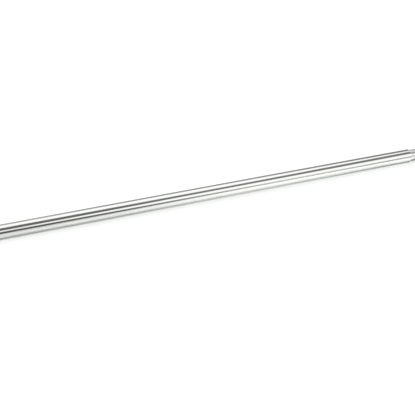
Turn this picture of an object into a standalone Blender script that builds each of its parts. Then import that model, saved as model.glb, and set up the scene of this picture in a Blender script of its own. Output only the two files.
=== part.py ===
"""Slide rod: a ground, hard-chromed steel bar with one stepped end.

Metres, +Z up. The rod lies on the floor along X. Its plain end is at -X and
its stepped journal at +X. The origin is on the floor, under the rod's middle.
"""

import math

import bmesh
import bpy

# Driving dimensions of the bar
OVERALL_LENGTH = 0.400
BODY_DIAMETER = 0.012
BODY_END_CHAMFER = 0.0010

# Journal turned down at the +X end, and the shoulder behind it
JOURNAL_LENGTH = 0.015
SHOULDER_HEIGHT = 0.0010
SHOULDER_EDGE_BREAK = 0.00015
SHOULDER_FILLET = 0.0004
JOURNAL_END_CHAMFER = 0.0008

# Centre holes, left in both end faces by turning and grinding between centres
CENTRE_PILOT_DIAMETER = 0.0020
CENTRE_PILOT_DEPTH = 0.0028
CENTRE_MOUTH_DIAMETER = 0.0042
CENTRE_CONE_ANGLE = math.radians(60)
DRILL_POINT_ANGLE = math.radians(118)

# Faces around the bar and along a quarter of a fillet, and how near two points count as one
SIDES = 64
FILLET_STEPS = 4
MERGE_DISTANCE = 1e-7

# Edges that turn more sharply than this are shaded as edges
SHARP_ANGLE = math.radians(20)

# Finish
CHROME_COLOUR = (0.86, 0.87, 0.86, 1.0)
CHROME_ROUGHNESS = 0.06

body_radius = BODY_DIAMETER / 2
journal_radius = body_radius - SHOULDER_HEIGHT
shoulder_x = OVERALL_LENGTH - JOURNAL_LENGTH

# The bar rests on one of its flat faces, whose middle is this far below the axis
axis_height = body_radius * math.cos(math.pi / SIDES)


def clear_scene():
    for obj in list(bpy.data.objects):
        bpy.data.objects.remove(obj, do_unlink=True)


def centre_hole_profile():
    """(depth, radius) points of a centre hole, from its tip on the axis out to its mouth."""
    pilot_radius = CENTRE_PILOT_DIAMETER / 2
    mouth_radius = CENTRE_MOUTH_DIAMETER / 2
    cone_depth = (mouth_radius - pilot_radius) / math.tan(CENTRE_CONE_ANGLE / 2)
    tip_depth = pilot_radius / math.tan(DRILL_POINT_ANGLE / 2)
    pilot_floor = cone_depth + CENTRE_PILOT_DEPTH
    return [
        (pilot_floor + tip_depth, 0.0),
        (pilot_floor, pilot_radius),
        (cone_depth, pilot_radius),
        (0.0, mouth_radius),
    ]


def fillet_profile():
    """(x, radius) points of the quarter round where the shoulder's face runs into the journal."""
    points = []
    for step in range(FILLET_STEPS + 1):
        turn = math.pi / 2 * step / FILLET_STEPS
        x = shoulder_x + SHOULDER_FILLET * (1 - math.cos(turn))
        radius = journal_radius + SHOULDER_FILLET * (1 - math.sin(turn))
        points.append((x, radius))
    return points


def bar_profile():
    """(x, radius) points of the bar's half section, from the plain end to the journal's end."""
    hole = centre_hole_profile()
    plain_end = hole
    journal_end = [(OVERALL_LENGTH - depth, radius) for depth, radius in reversed(hole)]
    body = [
        (0.0, body_radius - BODY_END_CHAMFER),
        (BODY_END_CHAMFER, body_radius),
        (shoulder_x - SHOULDER_EDGE_BREAK, body_radius),
        (shoulder_x, body_radius - SHOULDER_EDGE_BREAK),
    ]
    journal = [
        (OVERALL_LENGTH - JOURNAL_END_CHAMFER, journal_radius),
        (OVERALL_LENGTH, journal_radius - JOURNAL_END_CHAMFER),
    ]
    return plain_end + body + fillet_profile() + journal + journal_end


def turned_mesh(name, profile):
    """A mesh turned about the X axis from (x, radius) points, with a flat face at the bottom."""
    half_face = math.pi / SIDES
    bm = bmesh.new()
    points = []
    for x, radius in profile:
        corner = (x, -radius * math.sin(half_face), -radius * math.cos(half_face))
        points.append(bm.verts.new(corner))
    edges = [bm.edges.new(pair) for pair in zip(points, points[1:])]
    bmesh.ops.spin(
        bm,
        geom=points + edges,
        axis=(1, 0, 0),
        cent=(0, 0, 0),
        angle=math.tau,
        steps=SIDES,
    )
    bmesh.ops.remove_doubles(bm, verts=bm.verts, dist=MERGE_DISTANCE)
    bmesh.ops.recalc_face_normals(bm, faces=bm.faces)
    mesh = bpy.data.meshes.new(name)
    bm.to_mesh(mesh)
    bm.free()
    return mesh


def chrome_material():
    material = bpy.data.materials.new("hard_chrome")
    material.use_nodes = True
    shader = material.node_tree.nodes["Principled BSDF"]
    shader.inputs["Base Color"].default_value = CHROME_COLOUR
    shader.inputs["Metallic"].default_value = 1.0
    shader.inputs["Roughness"].default_value = CHROME_ROUGHNESS
    return material


def make_slide_rod():
    mesh = turned_mesh("slide_rod", bar_profile())
    mesh.materials.append(chrome_material())
    mesh.shade_smooth()
    mesh.set_sharp_from_angle(angle=SHARP_ANGLE)
    rod = bpy.data.objects.new("slide_rod", mesh)
    rod.location = (-OVERALL_LENGTH / 2, 0.0, axis_height)
    bpy.context.scene.collection.objects.link(rod)
    return rod


def main():
    clear_scene()
    make_slide_rod()


main()
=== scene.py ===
"""Looks of the slide rod: a ground, hard-chromed bar with a bare turned journal, on a white table.

Metres, +Z up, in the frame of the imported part. The rod lies along X, with its journal at +X.
"""

import math

import bmesh
import bpy
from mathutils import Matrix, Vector


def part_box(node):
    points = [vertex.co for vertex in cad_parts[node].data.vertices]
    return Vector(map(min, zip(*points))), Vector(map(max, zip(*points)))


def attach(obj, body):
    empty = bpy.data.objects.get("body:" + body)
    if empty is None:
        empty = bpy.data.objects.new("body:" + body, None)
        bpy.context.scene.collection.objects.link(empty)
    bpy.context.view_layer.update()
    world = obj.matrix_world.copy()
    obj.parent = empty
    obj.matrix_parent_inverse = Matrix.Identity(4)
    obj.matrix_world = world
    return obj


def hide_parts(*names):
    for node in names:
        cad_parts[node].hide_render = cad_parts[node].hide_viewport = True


MM = 0.001
MICRON = 1e-6
WHITE = (1.0, 1.0, 1.0, 1.0)

# The turned shape, repeated from the part's source
BODY_END_CHAMFER = 1.0 * MM
JOURNAL_LENGTH = 15.0 * MM
SHOULDER_HEIGHT = 1.0 * MM
SHOULDER_EDGE_BREAK = 0.15 * MM
SHOULDER_FILLET = 0.4 * MM
JOURNAL_END_CHAMFER = 0.8 * MM
CENTRE_PILOT_RADIUS = 1.0 * MM
CENTRE_PILOT_DEPTH = 2.8 * MM
CENTRE_MOUTH_RADIUS = 2.1 * MM
CENTRE_CONE_HALF_ANGLE = math.radians(30)
DRILL_POINT_HALF_ANGLE = math.radians(59)

# How finely the shape is turned: sides around it, steps in each arc of the profile, and rings along
# the body in each row of the texture. Edges that turn by more than the sharp angle are shaded sharp.
SIDES = 192
ARC_STEPS = 4
FILLET_STEPS = 8
RINGS_PER_ROW = 10
SHARP_ANGLE = math.radians(40)

# The small round on each edge. Corners this near to straight get none, and no round takes more than
# this share of an edge.
EDGE_RADIUS = 0.04 * MM
STRAIGHT_HALF_ANGLE = math.radians(88)
EDGE_SHARE = 0.4

# The texture square holds the body in rows, and both turned ends in one more row. The gap is the share
# of a row that stays free on each side of it, and between the two ends.
TEXTURE_MAP = "OFBake"
BODY_ROWS = 3
TEXTURE_ROWS = BODY_ROWS + 1
ROW_GAP = 0.008

# Most of a noise's values lie in this range
NOISE_RANGE = (0.3, 0.7)

# Hard chrome, centreless ground and polished: fine lines run round the rod
CHROME_COLOUR = (0.88, 0.884, 0.855, 1.0)
CHROME_HAZE = (0.855, 0.859, 0.832, 1.0)
CHROME_ROUGHNESS = (0.07, 0.13)
CHROME_ANISOTROPY = 0.35
GRIND_LINE = 0.22 * MM
GRIND_PATCH = 14.0 * MM
GRIND_PATCH_LENGTH = 84.0 * MM
GRIND_DETAIL = 4.0
GRIND_DEPTH = 0.8 * MICRON
GRIND_SHARE = 0.6
WAVE_LENGTH = 22.0 * MM
WAVE_DEPTH = 3.0 * MICRON

# Bare steel, turned: one groove of the tool for each turn of the bar, and small tears across it. The
# end faces and the centre holes are darker by FACE_TONE.
STEEL_COLOUR = (0.90, 0.905, 0.89, 1.0)
STEEL_DARK = (0.81, 0.815, 0.80, 1.0)
STEEL_SHADE_RANGE = (0.2, 0.7)
STEEL_ROUGHNESS = (0.24, 0.34)
STEEL_ANISOTROPY = 0.40
FACE_TONE = 0.77
FEED = 0.16 * MM
FEED_DEPTH = 2.0 * MICRON
CUSP_POWER = 2.0
CUSP_SHARE = 0.35
TEAR_SIZES = (0.3 * MM, 3.0 * MM, 3.0 * MM)
TEAR_DETAIL = 4.0

# The studio's light as metal mirrors it. Its dark gaps change within this range of lean, and past the
# ends of the rod they fade into an even tone.
STUDIO_LIGHT = 1.13
LEAN_RANGE = (0.0, 0.55)
PAST_ENDS = (0.75, 0.95)
PAST_ENDS_TONE = 0.6

# The studio's dark gaps, which show as bands along the rod. Angles are in degrees around the rod: 0
# at the front horizon, 90 straight up and 180 at the back horizon. Lean is how far a direction leans
# towards +X, as a cosine. Pairs are (lean, value), and run evenly from one to the next. Two of the
# gaps are bowed: their middles bend away from a level on both sides of one lean.
GAP_SOFTNESS = 0.35
BOW_LEAN = 0.22
BACK_MIDDLE = {"level": 168.6, "bend": -175.0}
BACK_HALF_WIDTH = 30.0
BACK_DEPTH = [(0.08, 0.58), (0.22, 0.74), (0.35, 0.74), (0.50, 0.81)]
ABOVE_MIDDLE = {"level": 67.9, "bend": 100.0}
ABOVE_HALF_WIDTH = [(0.14, 20.2), (0.30, 16.5), (0.36, 16.2), (0.52, 21.0)]
ABOVE_DEPTH = [(0.18, 0.88), (0.30, 0.82)]
FRONT_MIDDLE = [(0.08, 16.7), (0.20, 12.3), (0.31, 7.3), (0.35, 6.4), (0.52, 3.2)]
FRONT_HALF_WIDTH = [(0.10, 15.0), (0.33, 11.0)]
FRONT_DEPTH = [(0.12, 0.91), (0.20, 0.88), (0.29, 0.78), (0.40, 0.47), (0.46, 0.49), (0.54, 0.63)]
HAZE_MIDDLE = 38.0
HAZE_HALF_WIDTH = 14.0
HAZE_DEPTH = [(0.085, 0.14), (0.15, 0.0)]

# The studio's light as it falls on the table: some from all round, and most from above and behind
TABLE_LIGHT_LOW = 0.45
TABLE_LIGHT_OVERHEAD = 2.5
TABLE_LIGHT_FOCUS = 4.0
TABLE_LIGHT_TILT = math.radians(20)

# The table as the camera sees it: a grey that takes the shadow, and a glow that makes it white. Right
# under the rod, to this share of the body's radius and near the rod's tips, the glow is weaker, which
# paints a darker shadow there.
TABLE_HALF_WIDTH = 3.0
TABLE_DROP = 0.02 * MM
TABLE_COLOUR = (0.24, 0.24, 0.24, 1.0)
TABLE_GLOW = 0.805
TABLE_GLOW_COLOUR = (0.975, 1.0, 0.97, 1.0)
TABLE_GLOW_IN_PAINTED_SHADOW = 0.50
PAINTED_SHADOW_HALF_WIDTH = 0.5
UNDER_PAST_TIP = 1 * MM
UNDER_BEFORE_TIP = 3 * MM

# The table as metal mirrors it, from this height on the rod: painted light and shade that only
# mirrored rays see, lighter towards +X, with the studio's dark gaps painted on its far parts. Pairs
# are (place along the rod, value), and tones run smoothly from one pair to the next.
MIRROR_HEIGHT = 7.0 * MM
MIRROR_LEAN = [(-170 * MM, 0.085), (180 * MM, 0.52)]
MIRROR_NEAR_PAINTED_LIGHT = [(-170 * MM, 0.80), (-120 * MM, 0.86), (30 * MM, 1.0)]
MIRROR_FAR_PAINTED_LIGHT = [(-110 * MM, 0.60), (50 * MM, 0.93)]
MIRROR_NEAR_TO_FAR = (6 * MM, 50 * MM)
MIRROR_TINT = {"Red": 0.98, "Green": 1.0, "Blue": 0.985}
STRAIGHT_DOWN = -90.0
FULL_TURN = 360.0

# A painted shade on the table under the rod's front, which only metal's mirror shows. Its middle lies
# this far in front of the axis, and it fades between these distances from there, all in body radii.
# Pairs are as above.
PAINTED_CONTACT_MIDDLE = [(-170 * MM, 1.08), (20 * MM, 1.0), (100 * MM, 0.55)]
PAINTED_CONTACT_RANGE = (0.2, 0.65)
PAINTED_CONTACT_DEPTH = [
    (-170 * MM, 0.11),
    (-80 * MM, 0.10),
    (-30 * MM, 0.03),
    (60 * MM, 0.03),
    (130 * MM, 0.26),
    (165 * MM, 0.46),
]

# A painted glow on the table under the rod, standing in for light that creeps there, which only the
# rod's lower edge mirrors: where it starts and where it is full, as distances from below the axis in
# body radii, and how far before the shoulder it fades out
PAINTED_CREEP_GLOW = 0.25
PAINTED_CREEP_RANGE = (0.95, 0.45)
PAINTED_CREEP_FADE = 4 * MM

# The photograph's viewpoint
CLIP_START = 10 * MM
CLIP_END = 20.0
LENS = 70.0
SENSOR = 36.0
CAMERA_AZIMUTH = math.radians(-21.136)
CAMERA_ELEVATION = math.radians(30.090)
CAMERA_DISTANCE = 651.64 * MM
CAMERA_AIM = Vector((-18.41, -21.87, 5.99)) * MM

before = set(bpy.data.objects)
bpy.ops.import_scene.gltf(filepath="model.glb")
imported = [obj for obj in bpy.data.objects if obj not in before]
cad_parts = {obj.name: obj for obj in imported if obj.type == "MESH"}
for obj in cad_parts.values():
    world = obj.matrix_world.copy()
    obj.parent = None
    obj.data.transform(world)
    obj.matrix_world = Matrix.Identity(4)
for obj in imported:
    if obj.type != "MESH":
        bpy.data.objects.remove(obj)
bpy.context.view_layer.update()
low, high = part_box("slide_rod")
axis_z = (low.z + high.z) / 2
body_radius = (high.z - low.z) / 2
journal_radius = body_radius - SHOULDER_HEIGHT
plain_x = low.x
tip_x = high.x
shoulder_x = tip_x - JOURNAL_LENGTH


class Nodes:
    """A short way to write a node tree."""

    def __init__(self, tree):
        self.tree = tree

    def add(self, kind, inputs=(), **settings):
        """A new node with these settings. Each input is a value or another node's output."""
        node = self.tree.nodes.new(kind)
        for name, value in settings.items():
            setattr(node, name, value)
        for key, value in dict(inputs).items():
            self.put(node.inputs[key], value)
        return node

    def put(self, socket, value):
        if isinstance(value, bpy.types.NodeSocket):
            self.tree.links.new(value, socket)
        else:
            socket.default_value = value

    def math(self, operation, *values):
        node = self.add("ShaderNodeMath", operation=operation)
        for socket, value in zip(node.inputs, values):
            self.put(socket, value)
        return node.outputs[0]

    def product(self, first, *others):
        result = first
        for other in others:
            result = self.math("MULTIPLY", result, other)
        return result

    def ramp(self, value, from_low, from_high, to_low=0.0, to_high=1.0, smooth=True):
        """value carried from one range to another, and held at its ends."""
        node = self.add(
            "ShaderNodeMapRange",
            {
                "Value": value,
                "From Min": from_low,
                "From Max": from_high,
                "To Min": to_low,
                "To Max": to_high,
            },
            interpolation_type="SMOOTHSTEP" if smooth else "LINEAR",
        )
        return node.outputs["Result"]

    def steps(self, value, pairs, smooth=False):
        """value carried through (from, to) pairs, and held beyond the first and the last."""
        result = pairs[0][1]
        for (start, before), (end, after) in zip(pairs, pairs[1:]):
            if after != before:
                rise = self.ramp(value, start, end, 0.0, after - before, smooth)
                result = self.math("ADD", rise, result)
        return result

    def mix(self, factor, a, b):
        node = self.add("ShaderNodeMix", data_type="FLOAT")
        self.put(node.inputs[0], factor)
        self.put(node.inputs[2], a)
        self.put(node.inputs[3], b)
        return node.outputs[0]

    def mix_colour(self, factor, a, b):
        node = self.add("ShaderNodeMix", data_type="RGBA")
        self.put(node.inputs[0], factor)
        self.put(node.inputs[6], a)
        self.put(node.inputs[7], b)
        return node.outputs[2]

    def stretched_noise(self, place, sizes, detail=2.0):
        """Noise whose grains have these sizes along X, Y and Z, in metres."""
        scale = [1 / size for size in sizes]
        scaled = self.add("ShaderNodeVectorMath", {0: place, 1: scale}, operation="MULTIPLY")
        inputs = {"Vector": scaled.outputs[0], "Scale": 1.0, "Detail": detail}
        return self.add("ShaderNodeTexNoise", inputs).outputs[0]

    def relief(self, height, depth, below=None):
        """A bump of this depth in metres, laid over another."""
        inputs = {"Height": height, "Distance": depth, "Strength": 1.0}
        if below is not None:
            inputs["Normal"] = below
        return self.add("ShaderNodeBump", inputs).outputs[0]

    def rays(self):
        """Two switches: for rays straight from the camera or through glass, and for mirrored rays."""
        path = self.add("ShaderNodeLightPath").outputs
        straight = self.math("MAXIMUM", path["Is Camera Ray"], path["Is Transmission Ray"])
        return straight, path["Is Glossy Ray"]


def emptied(owner):
    """The nodes of a material or a world, to be filled anew."""
    owner.use_nodes = True
    owner.node_tree.nodes.clear()
    return Nodes(owner.node_tree)


def placed(name, data):
    """A new object in the scene."""
    thing = bpy.data.objects.new(name, data)
    bpy.context.scene.collection.objects.link(thing)
    return thing


def rounded(points, radius):
    """(x, radius) points of a profile with each inner corner replaced by a small arc."""
    result = [points[0]]
    for before, corner, after in zip(points, points[1:], points[2:]):
        a, b, c = (Vector(p) for p in (before, corner, after))
        to_a = (a - b).normalized()
        to_c = (c - b).normalized()
        half = to_a.angle(to_c) / 2
        reach = radius / math.tan(half)
        if half > STRAIGHT_HALF_ANGLE or reach > EDGE_SHARE * min((a - b).length, (c - b).length):
            result.append(corner)
            continue
        centre = b + (to_a + to_c).normalized() * (radius / math.sin(half))
        start = b + to_a * reach - centre
        end = b + to_c * reach - centre
        turn = start.angle(end)
        for step in range(ARC_STEPS + 1):
            share = step / ARC_STEPS
            spoke = start * math.sin((1 - share) * turn) + end * math.sin(share * turn)
            result.append(tuple(centre + spoke / math.sin(turn)))
    result.append(points[-1])
    return result


def centre_hole():
    """(depth, radius) points from the hole's tip out to its mouth."""
    cone_depth = (CENTRE_MOUTH_RADIUS - CENTRE_PILOT_RADIUS) / math.tan(CENTRE_CONE_HALF_ANGLE)
    floor = cone_depth + CENTRE_PILOT_DEPTH
    tip = floor + CENTRE_PILOT_RADIUS / math.tan(DRILL_POINT_HALF_ANGLE)
    return [
        (tip, 0.0),
        (floor, CENTRE_PILOT_RADIUS),
        (cone_depth, CENTRE_PILOT_RADIUS),
        (0.0, CENTRE_MOUTH_RADIUS),
    ]


def fillet():
    """(x, radius) points of the quarter round where the shoulder's face runs into the journal."""
    points = []
    for step in range(FILLET_STEPS + 1):
        turn = math.pi / 2 * step / FILLET_STEPS
        x = shoulder_x + SHOULDER_FILLET * (1 - math.cos(turn))
        points.append((x, journal_radius + SHOULDER_FILLET * (1 - math.sin(turn))))
    return points


def half_section():
    """(x, radius) points of the bar's half section, from one centre hole's tip to the other's."""
    hole = centre_hole()
    points = [(plain_x + depth, radius) for depth, radius in hole]
    points.append((plain_x, body_radius - BODY_END_CHAMFER))
    points.append((plain_x + BODY_END_CHAMFER, body_radius))
    points.append((shoulder_x - SHOULDER_EDGE_BREAK, body_radius))
    points.append((shoulder_x, body_radius - SHOULDER_EDGE_BREAK))
    points += fillet()
    points.append((tip_x - JOURNAL_END_CHAMFER, journal_radius))
    points.append((tip_x, journal_radius - JOURNAL_END_CHAMFER))
    points += [(tip_x - depth, radius) for depth, radius in reversed(hole)]
    return rounded(points, EDGE_RADIUS)


def cut_body(points):
    """The half section in three: the plain end, the body cut into even rings, and the journal's end."""
    on_body = [i for i, (x, radius) in enumerate(points) if math.isclose(radius, body_radius)]
    first, last = on_body[0], on_body[-1]
    start, end = points[first][0], points[last][0]
    rings = BODY_ROWS * RINGS_PER_ROW
    body = [(start + (end - start) * ring / rings, body_radius) for ring in range(rings + 1)]
    return points[: first + 1], body, points[last:]


def lengths(points):
    """How far each point lies along the profile from the first."""
    result = [0.0]
    for a, b in zip(points, points[1:]):
        result.append(result[-1] + math.dist(a, b))
    return result


def texture_spans(plain, body, journal):
    """For each stretch between two rings: its row in the texture, and its two ends along the row."""
    ends = lengths(plain)[-1] + lengths(journal)[-1]
    scale = (1 - ROW_GAP) / ends
    spans = []
    marks = [reach * scale for reach in lengths(plain)]
    spans += [(BODY_ROWS, a, b) for a, b in zip(marks, marks[1:])]
    for ring in range(len(body) - 1):
        row, place = divmod(ring, RINGS_PER_ROW)
        spans.append((row, place / RINGS_PER_ROW, (place + 1) / RINGS_PER_ROW))
    marks = [marks[-1] + ROW_GAP + reach * scale for reach in lengths(journal)]
    spans += [(BODY_ROWS, a, b) for a, b in zip(marks, marks[1:])]
    return spans


def make_rings(bm, points):
    """A ring of points for each point of the profile. A point on the axis stays one point."""
    reach_layer = bm.verts.layers.float.new("reach")
    rings = []
    for (x, radius), reach in zip(points, lengths(points)):
        ring = []
        for side in range(SIDES if radius > 0 else 1):
            turn = math.tau * side / SIDES
            vert = bm.verts.new((x, radius * math.sin(turn), axis_z - radius * math.cos(turn)))
            vert[reach_layer] = reach
            ring.append(vert)
        rings.append(ring)
    return rings


def join_rings(bm, uv_layer, a, b, span):
    """Faces from one ring to the next, with material 0 on the chromed body and 1 on the turned ends."""
    row, start, end = span
    for side in range(SIDES):
        after = (side + 1) % SIDES
        corners = [(a[side % len(a)], start, side), (b[side % len(b)], end, side)]
        if len(b) > 1:
            corners.append((b[after], end, side + 1))
        if len(a) > 1:
            corners.append((a[after], start, side + 1))
        face = bm.faces.new([vert for vert, along, around in corners])
        face.smooth = True
        face.material_index = 0 if row < BODY_ROWS else 1
        for loop, (vert, along, around) in zip(face.loops, corners):
            height = row + ROW_GAP + (1 - 2 * ROW_GAP) * around / SIDES
            loop[uv_layer].uv = (along, height / TEXTURE_ROWS)


def turned_rod():
    """The bar as one closed mesh."""
    plain, body, journal = cut_body(half_section())
    bm = bmesh.new()
    rings = make_rings(bm, plain + body[1:] + journal[1:])
    uv_layer = bm.loops.layers.uv.new(TEXTURE_MAP)
    for a, b, span in zip(rings, rings[1:], texture_spans(plain, body, journal)):
        join_rings(bm, uv_layer, a, b, span)
    bmesh.ops.recalc_face_normals(bm, faces=bm.faces)
    mesh = bpy.data.meshes.new("slide_rod_turned")
    bm.to_mesh(mesh)
    bm.free()
    return mesh


def metal(name, anisotropy):
    """A new metal material: itself, its nodes, its shader, and a point's place on the object."""
    material = bpy.data.materials.new(name)
    material.use_nodes = True
    n = Nodes(material.node_tree)
    shader = material.node_tree.nodes["Principled BSDF"]
    shader.inputs["Metallic"].default_value = 1.0
    shader.inputs["Anisotropic"].default_value = anisotropy
    tangent = n.add("ShaderNodeTangent", direction_type="UV_MAP", uv_map=TEXTURE_MAP)
    n.put(shader.inputs["Tangent"], tangent.outputs[0])
    place = n.add("ShaderNodeTexCoord").outputs["Object"]
    return material, n, shader, place


def chrome_material():
    """Hard chrome: nearly a mirror, with faint grinding lines round it and a slow wave along it."""
    material, n, shader, place = metal("hard_chrome", CHROME_ANISOTROPY)
    line_sizes = (GRIND_LINE, GRIND_PATCH, GRIND_PATCH)
    lines = n.stretched_noise(place, line_sizes, detail=GRIND_DETAIL)
    patches = n.stretched_noise(place, (GRIND_PATCH_LENGTH, GRIND_PATCH, GRIND_PATCH))
    wave = n.stretched_noise(place, (WAVE_LENGTH, WAVE_LENGTH, WAVE_LENGTH), detail=0.0)
    haze = n.ramp(lines, *NOISE_RANGE)
    polish = n.mix(GRIND_SHARE, patches, lines)
    roughness = n.ramp(polish, *NOISE_RANGE, *CHROME_ROUGHNESS, smooth=False)
    n.put(shader.inputs["Base Color"], n.mix_colour(haze, CHROME_COLOUR, CHROME_HAZE))
    n.put(shader.inputs["Roughness"], roughness)
    n.put(shader.inputs["Normal"], n.relief(lines, GRIND_DEPTH, n.relief(wave, WAVE_DEPTH)))
    return material


def on_journal(n, x, radius):
    """1 from the shoulder's edge to the journal's end chamfer, and 0 on the other turned faces."""
    past_shoulder = n.math("GREATER_THAN", x, shoulder_x - SHOULDER_EDGE_BREAK)
    outside = n.math("GREATER_THAN", radius, journal_radius - EDGE_RADIUS)
    return n.product(past_shoulder, outside)


def steel_material():
    """Turned steel: the tool's fine groove winds along the profile, over faces and cylinders alike."""
    material, n, shader, place = metal("turned_steel", STEEL_ANISOTROPY)
    x, y, z = n.add("ShaderNodeSeparateXYZ", {0: place}).outputs
    height = n.math("SUBTRACT", z, axis_z)
    radius = n.math("SQRT", n.math("MULTIPLY_ADD", height, height, n.product(y, y)))
    reach = n.add("ShaderNodeAttribute", attribute_name="reach").outputs["Fac"]
    turn = n.math("DIVIDE", n.math("ARCTAN2", y, height), math.tau)
    pitch = n.math("FRACT", n.math("ADD", n.math("DIVIDE", reach, FEED), turn))
    from_middle = n.math("ABSOLUTE", n.math("MULTIPLY_ADD", pitch, 2.0, -1.0))
    cusp = n.math("POWER", from_middle, CUSP_POWER)
    tears = n.stretched_noise(place, TEAR_SIZES, detail=TEAR_DETAIL)
    shade = n.ramp(n.mix(CUSP_SHARE, tears, cusp), *STEEL_SHADE_RANGE)
    colour = n.mix_colour(shade, STEEL_COLOUR, STEEL_DARK)
    level = n.mix(on_journal(n, x, radius), FACE_TONE, 1.0)
    toned = n.add("ShaderNodeVectorMath", {0: colour, "Scale": level}, operation="SCALE")
    roughness = n.ramp(tears, *NOISE_RANGE, *STEEL_ROUGHNESS, smooth=False)
    n.put(shader.inputs["Base Color"], toned.outputs[0])
    n.put(shader.inputs["Roughness"], roughness)
    n.put(shader.inputs["Normal"], n.relief(cusp, FEED_DEPTH))
    return material


def make_rod():
    """The bar, in place of its plain CAD solid."""
    mesh = turned_rod()
    mesh.materials.append(chrome_material())
    mesh.materials.append(steel_material())
    mesh.set_sharp_from_angle(angle=SHARP_ANGLE)
    rod = placed("slide_rod_bar", mesh)
    normals = rod.modifiers.new("weighted_normals", "WEIGHTED_NORMAL")
    normals.keep_sharp = True
    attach(rod, "root")
    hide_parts("slide_rod")


def bowed(n, lean, level, bend):
    """The middle of a bowed gap."""
    off = n.math("SUBTRACT", lean, BOW_LEAN)
    return n.math("MULTIPLY_ADD", n.product(off, off), bend, level)


def dark_gap(n, around, middle, half_width, depth):
    """What a dark gap between soft boxes leaves of the light."""
    off = n.math("ABSOLUTE", n.math("SUBTRACT", around, middle))
    share = n.math("DIVIDE", off, half_width)
    shape = n.ramp(share, 1.0 - GAP_SOFTNESS, 1.0 + GAP_SOFTNESS, 1.0, 0.0)
    return n.math("SUBTRACT", 1.0, n.product(shape, depth))


def dark_gaps(n, around, lean):
    """What the gaps leave of the light: behind the rod, above it and in front, and a faint haze."""
    back_middle = bowed(n, lean, **BACK_MIDDLE)
    back = dark_gap(n, around, back_middle, BACK_HALF_WIDTH, n.steps(lean, BACK_DEPTH))
    above_middle = bowed(n, lean, **ABOVE_MIDDLE)
    above_half_width = n.steps(lean, ABOVE_HALF_WIDTH)
    above = dark_gap(n, around, above_middle, above_half_width, n.steps(lean, ABOVE_DEPTH))
    front_middle = n.steps(lean, FRONT_MIDDLE)
    front_half_width = n.steps(lean, FRONT_HALF_WIDTH)
    front = dark_gap(n, around, front_middle, front_half_width, n.steps(lean, FRONT_DEPTH))
    haze = dark_gap(n, around, HAZE_MIDDLE, HAZE_HALF_WIDTH, n.steps(lean, HAZE_DEPTH))
    return n.product(back, above, front, haze)


def painted_contact_shade(n, x, front_y):
    """What the painted shade under the rod's front leaves. It is darkest near the rod's ends."""
    place = n.math("DIVIDE", front_y, body_radius)
    off = n.math("SUBTRACT", place, n.steps(x, PAINTED_CONTACT_MIDDLE))
    shape = n.ramp(n.math("ABSOLUTE", off), *PAINTED_CONTACT_RANGE, 1.0, 0.0)
    depth = n.steps(x, PAINTED_CONTACT_DEPTH, smooth=True)
    return n.math("SUBTRACT", 1.0, n.product(shape, depth))


def painted_mirror_tone(n, x, y):
    """The table's painted light and shade in the rod's mirror, dark gaps on its far parts."""
    front_y = n.product(y, -1.0)
    near = n.steps(x, MIRROR_NEAR_PAINTED_LIGHT, smooth=True)
    far = n.steps(x, MIRROR_FAR_PAINTED_LIGHT, smooth=True)
    tone = n.mix(n.ramp(front_y, *MIRROR_NEAR_TO_FAR), near, far)
    below_horizon = n.math("DEGREES", n.math("ARCTAN2", MIRROR_HEIGHT, front_y))
    around = n.product(below_horizon, -1.0)
    # Behind the rod, the angle goes on from the back horizon
    behind = n.math("LESS_THAN", around, STRAIGHT_DOWN)
    around = n.math("ADD", around, n.product(behind, FULL_TURN))
    # The studio's dark gaps, painted on the table as shade for the rod to mirror
    gaps = dark_gaps(n, around, n.steps(x, MIRROR_LEAN))
    return n.product(tone, gaps, painted_contact_shade(n, x, front_y))


def seen_glow_with_painted_shadow(n, x, y):
    """The table's glow as the camera sees it, weaker right under the rod to paint a shadow."""
    # Painted shadow: the camera's glow is weaker right under the rod, along its length
    under = n.ramp(n.math("ABSOLUTE", y), PAINTED_SHADOW_HALF_WIDTH * body_radius, 0.0)
    within = n.ramp(n.math("ABSOLUTE", x), tip_x + UNDER_PAST_TIP, tip_x - UNDER_BEFORE_TIP)
    return n.mix(n.product(under, within), TABLE_GLOW, TABLE_GLOW_IN_PAINTED_SHADOW)


def painted_creeping_glow(n, x, y):
    """The table's painted glow under the body, for the rod's lower edge to mirror."""
    start, full = (share * body_radius for share in PAINTED_CREEP_RANGE)
    under = n.ramp(n.math("ABSOLUTE", y), start, full, 0.0, PAINTED_CREEP_GLOW)
    return n.product(under, n.ramp(x, shoulder_x - PAINTED_CREEP_FADE, shoulder_x, 1.0, 0.0))


def table_material():
    """A white table that keeps the rod's shadow, plus painted shadow, glow, shade and dark gaps."""
    material = bpy.data.materials.new("table_white")
    n = emptied(material)
    place = n.add("ShaderNodeTexCoord").outputs["Object"]
    x, y = n.add("ShaderNodeSeparateXYZ", {0: place}).outputs[:2]
    straight, glossy = n.rays()
    # Painted light and shade, which only mirrored rays see
    tone = painted_mirror_tone(n, x, y)
    channels = {name: n.product(tone, share) for name, share in MIRROR_TINT.items()}
    mirrored = n.add("ShaderNodeCombineColor", channels).outputs[0]
    colour = n.mix_colour(glossy, TABLE_COLOUR, mirrored)
    # A painted glow under the rod, which only mirrored rays see
    painted_creeping = n.product(glossy, painted_creeping_glow(n, x, y))
    glow = n.math("MULTIPLY_ADD", straight, seen_glow_with_painted_shadow(n, x, y), painted_creeping)
    diffuse = n.add("ShaderNodeBsdfDiffuse", {"Color": colour})
    lit = n.add("ShaderNodeEmission", {"Color": TABLE_GLOW_COLOUR, "Strength": glow})
    both = n.add("ShaderNodeAddShader", {0: diffuse.outputs[0], 1: lit.outputs[0]})
    n.add("ShaderNodeOutputMaterial", {"Surface": both.outputs[0]})
    return material


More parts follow.
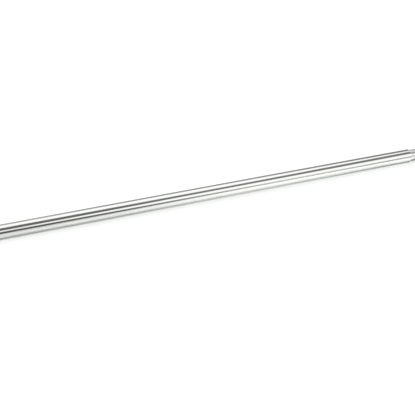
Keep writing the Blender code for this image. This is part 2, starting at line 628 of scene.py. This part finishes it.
def make_table():
    """The table's top, a hair below the rod's lowest line."""
    half = TABLE_HALF_WIDTH
    z = -TABLE_DROP
    corners = [(-half, -half, z), (half, -half, z), (half, half, z), (-half, half, z)]
    mesh = bpy.data.meshes.new("table")
    mesh.from_pydata(corners, [], [(0, 1, 2, 3)])
    mesh.materials.append(table_material())
    table = placed("table", mesh)


def make_world():
    """Plain soft light: white to the camera, soft boxes to metal, and from above on the table."""
    world = bpy.data.worlds.new("studio")
    bpy.context.scene.world = world
    n = emptied(world)
    direction = n.add("ShaderNodeTexCoord").outputs["Generated"]
    x, y, z = n.add("ShaderNodeSeparateXYZ", {0: direction}).outputs
    around = n.math("DEGREES", n.math("ARCTAN2", z, n.product(y, -1.0)))
    lean = n.ramp(x, *LEAN_RANGE, *LEAN_RANGE, smooth=False)
    past_ends = n.ramp(n.math("ABSOLUTE", x), *PAST_ENDS)
    boxes = n.mix(past_ends, dark_gaps(n, around, lean), PAST_ENDS_TONE)
    mirrored = n.product(boxes, STUDIO_LIGHT)
    lean_back = (0.0, math.sin(TABLE_LIGHT_TILT), math.cos(TABLE_LIGHT_TILT))
    facing = n.add("ShaderNodeVectorMath", {0: direction, 1: lean_back}, operation="DOT_PRODUCT")
    facing = n.math("MAXIMUM", facing.outputs["Value"], 0.0)
    overhead = n.math("POWER", facing, TABLE_LIGHT_FOCUS)
    overhead = n.math("MULTIPLY_ADD", overhead, TABLE_LIGHT_OVERHEAD, TABLE_LIGHT_LOW)
    straight, glossy = n.rays()
    strength = n.mix(glossy, overhead, mirrored)
    strength = n.mix(straight, strength, 1.0)
    background = n.add("ShaderNodeBackground", {"Color": WHITE, "Strength": strength})
    n.add("ShaderNodeOutputWorld", {"Surface": background.outputs[0]})


def make_camera():
    """The camera, looking at its aim. Its azimuth is counted from -Y towards +X."""
    data = bpy.data.cameras.new("camera")
    data.lens = LENS
    data.sensor_width = SENSOR
    data.clip_start = CLIP_START
    data.clip_end = CLIP_END
    camera = placed("camera", data)
    level = math.cos(CAMERA_ELEVATION)
    right = math.sin(CAMERA_AZIMUTH) * level
    forward = -math.cos(CAMERA_AZIMUTH) * level
    back = Vector((right, forward, math.sin(CAMERA_ELEVATION)))
    camera.location = CAMERA_AIM + back * CAMERA_DISTANCE
    camera.rotation_mode = "QUATERNION"
    camera.rotation_quaternion = (-back).to_track_quat("-Z", "Y")
    bpy.context.scene.camera = camera


make_rod()
make_table()
make_world()
make_camera()
bpy.context.scene.view_settings.view_transform = "Standard"
